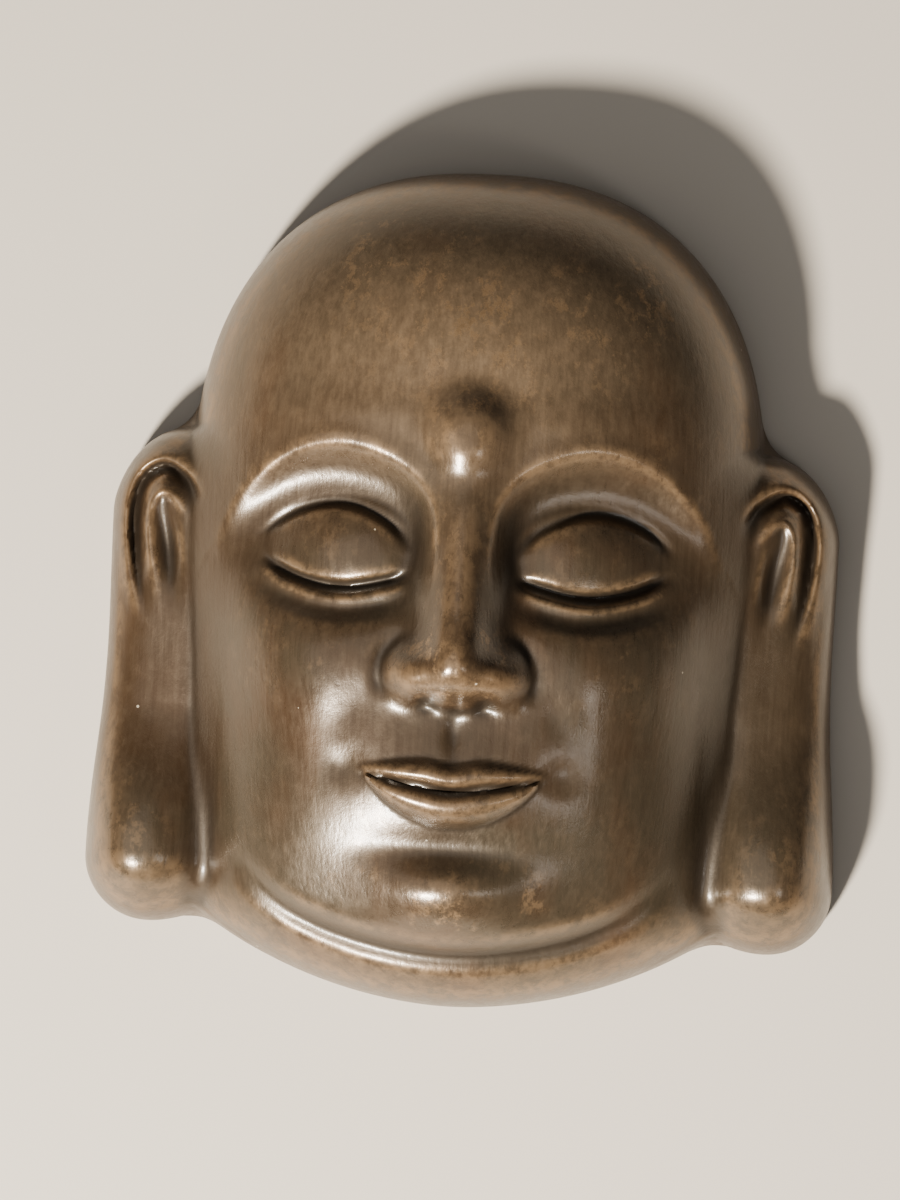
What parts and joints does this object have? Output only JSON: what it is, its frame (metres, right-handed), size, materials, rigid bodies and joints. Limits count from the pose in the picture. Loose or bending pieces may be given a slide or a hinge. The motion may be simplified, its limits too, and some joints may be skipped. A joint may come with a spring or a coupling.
{
  "type": "buddha mask",
  "caption": "Hollow-cast bronze wall mask of a bald, long-eared head with a round brow mark, with a hanging tab inside its open back.",
  "frame": {"origin": "middle of the flat back rim's plane, under the centre of the outline's box", "axes": "+X to the viewer's right, +Y to the crown, +Z out of the face"},
  "size_m": [0.135, 0.15, 0.0525],
  "materials": {
    "bronze": "satin dark brown patina on cast bronze, rubbed golden brown on the high spots, darker in the carving"
  },
  "bodies": {
    "root": {"mask": "bronze"}
  },
  "joints": []
}
